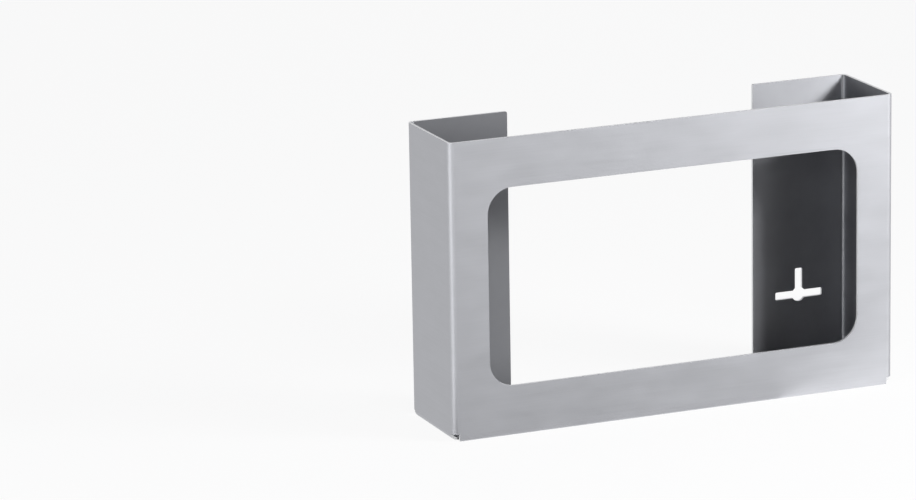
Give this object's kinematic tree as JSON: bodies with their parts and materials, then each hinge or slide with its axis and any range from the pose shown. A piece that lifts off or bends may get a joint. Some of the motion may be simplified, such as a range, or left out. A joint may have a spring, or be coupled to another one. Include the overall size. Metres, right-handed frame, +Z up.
{
  "type": "disposable glove dispenser",
  "caption": "Folded sheet steel holder for a box of disposable gloves, with a rounded front window, side walls, base ledges and back flanges with three-way keyholes.",
  "frame": {"origin": "middle of the overall footprint, on the plane that the ledges and the front plate's bottom edge stand on", "axes": "+Z up, +X along the front plate to its right end, +Y from the front plate to the back flanges, so the window faces -Y"},
  "size_m": [0.257, 0.057, 0.16],
  "materials": {
    "brushed_stainless_steel": "fine satin brushing, cut edges deburred and plain"
  },
  "bodies": {
    "root": {"dispenser_body": "brushed_stainless_steel"}
  },
  "joints": []
}
